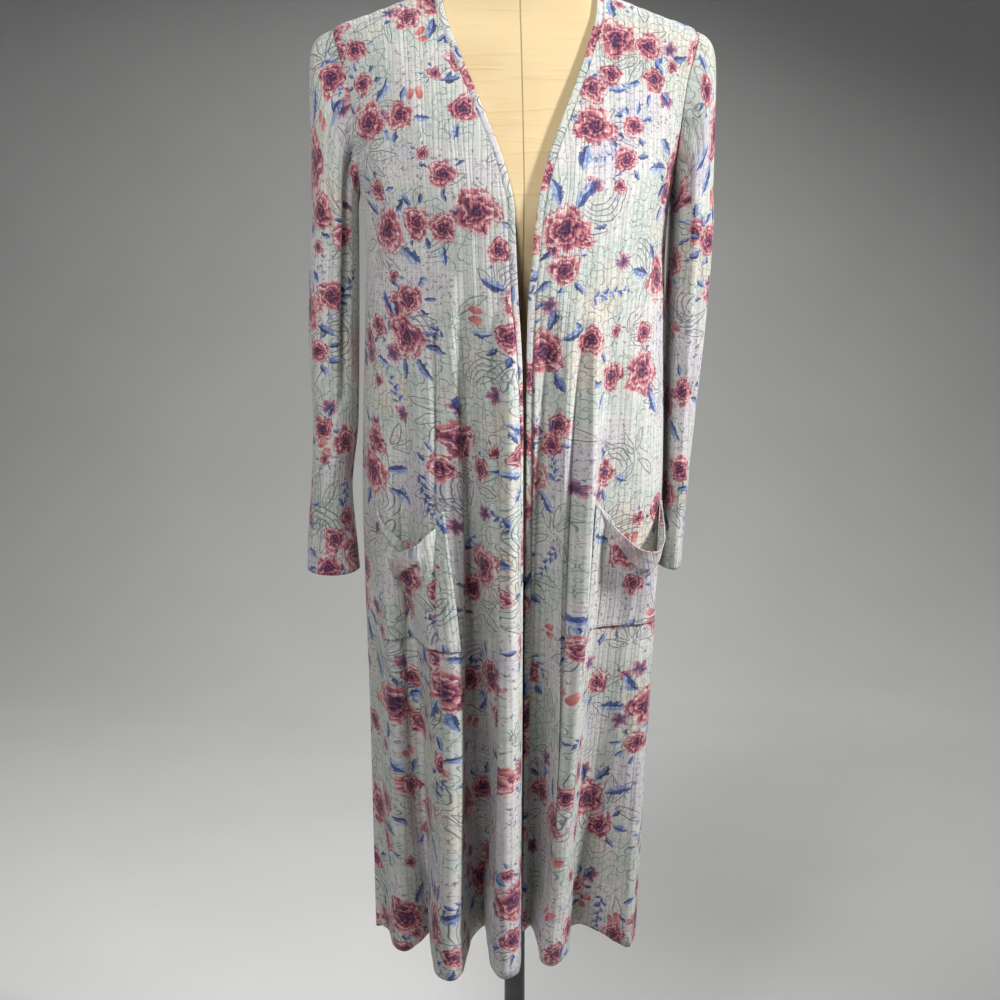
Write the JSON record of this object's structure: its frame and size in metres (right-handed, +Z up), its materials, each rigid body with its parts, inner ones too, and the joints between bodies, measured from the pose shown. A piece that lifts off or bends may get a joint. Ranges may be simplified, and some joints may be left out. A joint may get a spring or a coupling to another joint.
{
  "type": "duster cardigan on a dress form",
  "caption": "Long open-front ribbed jersey cardigan with long sleeves and patch pockets, worn on a limbless dress form with a pole and a round base.",
  "frame": {"origin": "middle of the base's underside, on the floor", "axes": "+Z up, the garment's open front faces -Y, +X is to the right of someone looking at its front"},
  "size_m": [0.4645, 0.31, 1.525],
  "materials": {
    "rib_jersey": "matte",
    "form_cover": "matte",
    "stand_steel": "satin"
  },
  "bodies": {
    "root": {"front_left": "rib_jersey", "front_right": "rib_jersey", "back": "rib_jersey", "sleeve_left": "rib_jersey", "sleeve_right": "rib_jersey", "neckband": "rib_jersey", "pocket_left": "rib_jersey", "pocket_right": "rib_jersey", "form_torso": "form_cover", "form_pole": "stand_steel", "form_base": "stand_steel"}
  },
  "joints": []
}
